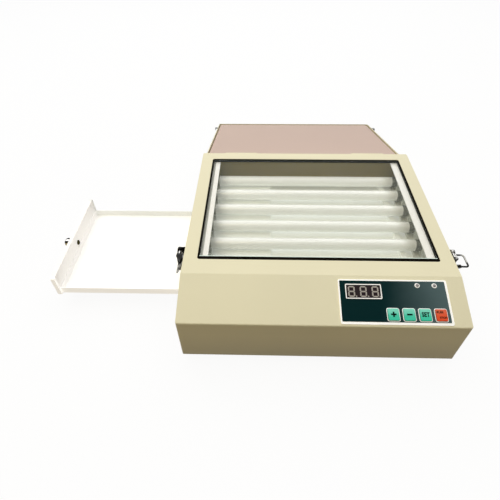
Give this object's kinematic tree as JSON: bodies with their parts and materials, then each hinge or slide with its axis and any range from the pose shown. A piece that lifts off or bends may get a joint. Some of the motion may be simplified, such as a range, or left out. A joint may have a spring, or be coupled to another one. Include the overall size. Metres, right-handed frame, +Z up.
{
  "type": "screen printing exposure unit",
  "caption": "Bench exposure unit with ultraviolet tubes under a glass window, a padded fold-back lid with two toggle latches, a drying drawer at the left and a timer panel on the sloping front.",
  "frame": {"origin": "centre of the case's underside, on the outer face of the bottom plate", "axes": "+X to the right of someone at the control panel, +Y to the rear where the lid is hinged, +Z up"},
  "size_m": [0.5363, 0.5545, 0.095],
  "materials": {
    "cream_paint": "fine orange-peel powder coat",
    "white_paint": "smooth gloss",
    "olive_paint": "satin",
    "zinc_steel": "nickel plated",
    "spring_steel": "dark nickel plated wire",
    "knob_nickel": "polished nickel",
    "ledge_white": "smooth gloss",
    "reflector_white": "high gloss reflector paint",
    "galvanised": "matt",
    "black_rubber": "matt",
    "clear_glass": "polished",
    "lamp_glass": "phosphor-coated glass",
    "lamp_cap": "satin",
    "holder_plastic": "moulded",
    "plate_white": "satin",
    "teal_film": "satin polyester film",
    "display_black": "satin",
    "digit_grey": "unlit",
    "led_red": "diffused lens",
    "board_green": "solder mask",
    "component_grey": "moulded",
    "ballast_white": "moulded",
    "socket_black": "moulded",
    "key_mint": "moulded",
    "key_red": "moulded",
    "rocker_red": "moulded",
    "foam_pink": "fine-cell foam sheet"
  },
  "bodies": {
    "case": {"case_shell": "cream_paint", "bottom_plate": "cream_paint", "case_screws": "zinc_steel", "rubber_feet": "black_rubber", "glass_gasket": "black_rubber", "glass_plate": "clear_glass", "glass_ledges": "ledge_white", "reflector_tray": "reflector_white", "rear_baffle": "olive_paint", "reflector_covers": "reflector_white", "ballasts": "ballast_white", "uv_tube_1": "lamp_glass", "uv_tube_2": "lamp_glass", "uv_tube_3": "lamp_glass", "uv_tube_4": "lamp_glass", "uv_tube_5": "lamp_glass", "uv_tube_6": "lamp_glass", "tube_caps": "lamp_cap", "lamp_holders": "holder_plastic", "drawer_runners": "galvanised", "control_plate": "plate_white", "control_film": "teal_film", "display_bezel": "plate_white", "display_module": "display_black", "display_digits": "digit_grey", "led_lenses": "led_red", "led_rings": "plate_white", "control_board": "board_green", "board_parts": "component_grey", "mains_inlet": "socket_black", "inlet_pins": "zinc_steel", "fuse_holder": "socket_black", "switch_frame": "socket_black", "rear_screws": "zinc_steel", "case_rivets": "zinc_steel", "left_latch_base": "zinc_steel", "right_latch_base": "zinc_steel", "hinge_case_leaves": "cream_paint", "hinge_pins": "zinc_steel"},
    "lid": {"lid_pan": "cream_paint", "lid_pad": "foam_pink", "hinge_lid_leaves": "cream_paint", "lid_rivets": "zinc_steel", "lid_catches": "zinc_steel"},
    "drawer": {"drawer_tray": "white_paint", "drawer_front": "white_paint", "drawer_knob": "knob_nickel", "knob_screw": "knob_nickel"},
    "left_lever": {"left_latch_lever": "zinc_steel"},
    "right_lever": {"right_latch_lever": "zinc_steel"},
    "left_loop": {"left_latch_loop": "spring_steel", "left_loop_springs": "spring_steel"},
    "right_loop": {"right_latch_loop": "spring_steel", "right_loop_springs": "spring_steel"},
    "plus_button": {"plus_key": "key_mint"},
    "minus_button": {"minus_key": "key_mint"},
    "set_button": {"set_key": "key_mint"},
    "run_button": {"run_key": "key_red"},
    "rocker": {"switch_rocker": "rocker_red"}
  },
  "joints": [
    {"name": "lid_hinge", "type": "hinge", "parent": "case", "child": "lid", "pos_m": [0, 0.1587, 0.0768], "axis": [1, 0, 0], "range_deg": [0, 196.2]},
    {"name": "drawer_slide", "type": "slide", "parent": "case", "child": "drawer", "axis": [1, 0, 0], "range_m": [-0.03, 0.1699]},
    {"name": "left_lever_pivot", "type": "hinge", "parent": "case", "child": "left_lever", "pos_m": [-0.1686, -0.0555, 0.0716], "axis": [0, 1, 0], "range_deg": [0, 100]},
    {"name": "right_lever_pivot", "type": "hinge", "parent": "case", "child": "right_lever", "pos_m": [0.1686, -0.0555, 0.0716], "axis": [0, -1, 0], "range_deg": [0, 100]},
    {"name": "left_loop_pivot", "type": "hinge", "parent": "left_lever", "child": "left_loop", "pos_m": [-0.165, -0.0555, 0.0626], "axis": [0, -1, 0], "range_deg": [-161.84, 12]},
    {"name": "right_loop_pivot", "type": "hinge", "parent": "right_lever", "child": "right_loop", "pos_m": [0.165, -0.0555, 0.0626], "axis": [0, 1, 0], "range_deg": [-99.84, 74]},
    {"name": "plus_press", "type": "slide", "parent": "case", "child": "plus_button", "axis": [0, 0.3112, -0.9504], "range_m": [0, 0.00045], "stiffness_N_per_m": 600, "springref_m": -0.0005},
    {"name": "minus_press", "type": "slide", "parent": "case", "child": "minus_button", "axis": [0, 0.3112, -0.9504], "range_m": [0, 0.00045], "stiffness_N_per_m": 600, "springref_m": -0.0005},
    {"name": "set_press", "type": "slide", "parent": "case", "child": "set_button", "axis": [0, 0.3112, -0.9504], "range_m": [0, 0.00045], "stiffness_N_per_m": 600, "springref_m": -0.0005},
    {"name": "run_press", "type": "slide", "parent": "case", "child": "run_button", "axis": [0, 0.3112, -0.9504], "range_m": [0, 0.00045], "stiffness_N_per_m": 600, "springref_m": -0.0005},
    {"name": "rocker_tilt", "type": "hinge", "parent": "case", "child": "rocker", "pos_m": [0.018, 0.156, 0.02], "axis": [0, 0, 1], "range_deg": [-18, 0]}
  ]
}
